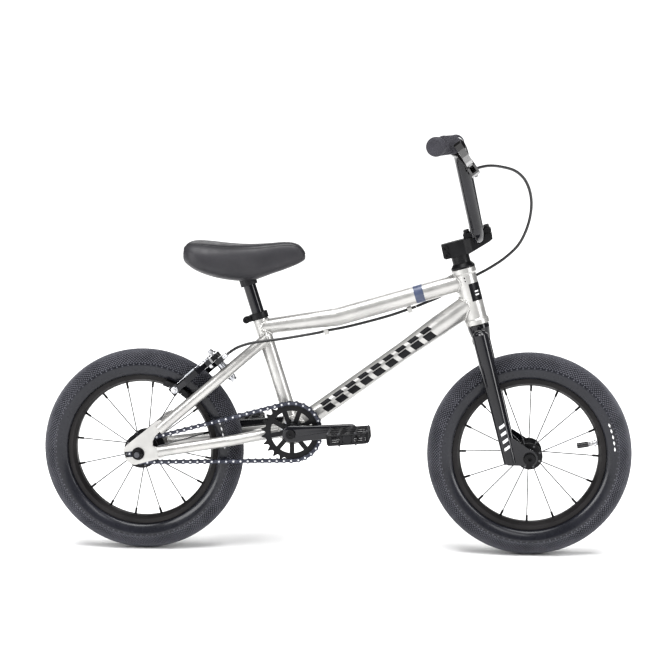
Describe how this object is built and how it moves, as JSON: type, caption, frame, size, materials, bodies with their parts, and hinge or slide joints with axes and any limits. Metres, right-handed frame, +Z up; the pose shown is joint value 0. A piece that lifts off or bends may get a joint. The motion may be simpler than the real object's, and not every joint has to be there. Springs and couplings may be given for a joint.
{
  "type": "bmx bike",
  "caption": "Small-wheeled freestyle bicycle with tall crossbar handlebar, single-speed chain drive, rear caliper brake with lever and cable, padded saddle and platform pedals.",
  "frame": {"origin": "on the ground plane, at the middle of the bounding box seen from above", "axes": "+X forward, +Y to the rider's left, +Z up; the chain is on the -Y side"},
  "size_m": [1.0379, 0.6132, 0.7337],
  "materials": {
    "frame_silver": "satin silver metallic paint",
    "black_gloss": "gloss black paint",
    "black_satin": "satin black coating",
    "black_plastic": "moulded, fine grain",
    "saddle_cover": "grained vinyl",
    "tyre_rubber": "dark grey rubber",
    "grip_rubber": "dark grey rubber",
    "tube_rubber": "plain black rubber",
    "zinc_steel": "zinc plated",
    "spoke_steel": "drawn stainless wire",
    "chain_steel": "blued steel",
    "bearing_steel": "ground steel",
    "cable_jacket": "black cable jacket"
  },
  "bodies": {
    "frame": {"head_tube": "frame_silver", "top_tube": "frame_silver", "down_tube": "frame_silver", "seat_tube": "frame_silver", "bb_shell": "frame_silver", "chainstays": "frame_silver", "seatstays": "frame_silver", "dropouts": "frame_silver", "stay_bridges": "frame_silver", "cable_guides": "frame_silver", "seat_clamp": "black_satin", "seat_clamp_bolt": "black_satin", "frame_bearings": "bearing_steel", "rear_axle": "zinc_steel", "rear_axle_nuts": "black_satin", "chain": "chain_steel", "brake_pivot": "zinc_steel", "brake_cable_rear": "cable_jacket"},
    "seat": {"seat_post": "black_gloss", "saddle_base": "black_plastic", "saddle": "saddle_cover", "saddle_bolt": "zinc_steel"},
    "steering": {"fork_steerer": "black_gloss", "fork_leg_right": "black_gloss", "fork_leg_left": "black_gloss", "fork_dropouts": "black_gloss", "headset_spacers": "black_satin", "stem": "black_satin", "stem_cap": "black_satin", "stem_bolts": "black_satin", "handlebar": "black_gloss", "grip_right": "grip_rubber", "grip_left": "grip_rubber", "lever_bracket": "black_satin", "front_axle": "zinc_steel", "front_axle_bolts": "black_satin", "brake_cable_front": "cable_jacket"},
    "brake_lever": {"brake_lever": "black_satin"},
    "front_wheel": {"front_rim": "black_satin", "front_tyre": "tyre_rubber", "front_tube": "tube_rubber", "front_spokes": "spoke_steel", "front_hub": "black_satin", "front_bearings": "bearing_steel"},
    "rear_wheel": {"rear_rim": "black_satin", "rear_tyre": "tyre_rubber", "rear_tube": "tube_rubber", "rear_spokes": "spoke_steel", "rear_hub": "black_satin", "rear_bearings": "bearing_steel"},
    "driver": {"driver": "chain_steel"},
    "crank": {"sprocket": "black_satin", "crank_spindle": "bearing_steel", "crank_arm_right": "black_gloss", "crank_arm_left": "black_gloss", "pedal_axles": "zinc_steel"},
    "pedal_right": {"pedal_right": "black_plastic"},
    "pedal_left": {"pedal_left": "black_plastic"},
    "brake_arm_right": {"brake_arm_right": "black_satin"},
    "brake_arm_left": {"brake_arm_left": "black_satin"}
  },
  "joints": [
    {"name": "steer", "type": "hinge", "parent": "frame", "child": "steering", "pos_m": [0.23607, 0, 0.45427], "axis": [-0.2588, 0, 0.9659], "range_deg": [-70, 70], "deforming": ["brake_cable_front"]},
    {"name": "front_spin", "type": "hinge", "parent": "steering", "child": "front_wheel", "pos_m": [0.3405, 0, 0.1785], "axis": [0, 1, 0], "continuous": true},
    {"name": "rear_spin", "type": "hinge", "parent": "frame", "child": "rear_wheel", "pos_m": [-0.3405, 0, 0.1785], "axis": [0, 1, 0], "continuous": true},
    {"name": "crank_spin", "type": "hinge", "parent": "frame", "child": "crank", "pos_m": [-0.07222, 0, 0.2175], "axis": [0, 1, 0], "continuous": true},
    {"name": "driver_spin", "type": "hinge", "parent": "frame", "child": "driver", "pos_m": [-0.3405, 0, 0.1785], "axis": [0, 1, 0], "continuous": true},
    {"name": "pedal_right_spin", "type": "hinge", "parent": "crank", "child": "pedal_right", "pos_m": [0.03252, -0.115, 0.22482], "axis": [0, 1, 0], "continuous": true},
    {"name": "pedal_left_spin", "type": "hinge", "parent": "crank", "child": "pedal_left", "pos_m": [-0.17696, 0.115, 0.21018], "axis": [0, 1, 0], "continuous": true},
    {"name": "lever_pull", "type": "hinge", "parent": "steering", "child": "brake_lever", "pos_m": [0.23441, -0.15892, 0.68299], "axis": [-0.7972, -0.0543, -0.6013], "range_deg": [0, 6], "stiffness_Nm_per_rad": 0.4, "springref_deg": -17.19},
    {"name": "brake_right_close", "type": "hinge", "parent": "frame", "child": "brake_arm_right", "pos_m": [-0.21239, 0, 0.34233], "axis": [0.6481, 0, -0.7615], "range_deg": [0, 1.1]},
    {"name": "brake_left_close", "type": "hinge", "parent": "frame", "child": "brake_arm_left", "pos_m": [-0.20591, 0, 0.33471], "axis": [-0.6481, 0, 0.7615], "range_deg": [0, 1.1]},
    {"name": "seat_height", "type": "slide", "parent": "frame", "child": "seat", "axis": [-0.2974, 0, 0.9548], "range_m": [-0.012, 0.03]}
  ],
  "couplings": [
    {"joint": "driver_spin", "follows": "crank_spin", "ratio": 2.7778},
    {"joint": "brake_right_close", "follows": "lever_pull", "ratio": 0.1833},
    {"joint": "brake_left_close", "follows": "lever_pull", "ratio": 0.1833}
  ]
}
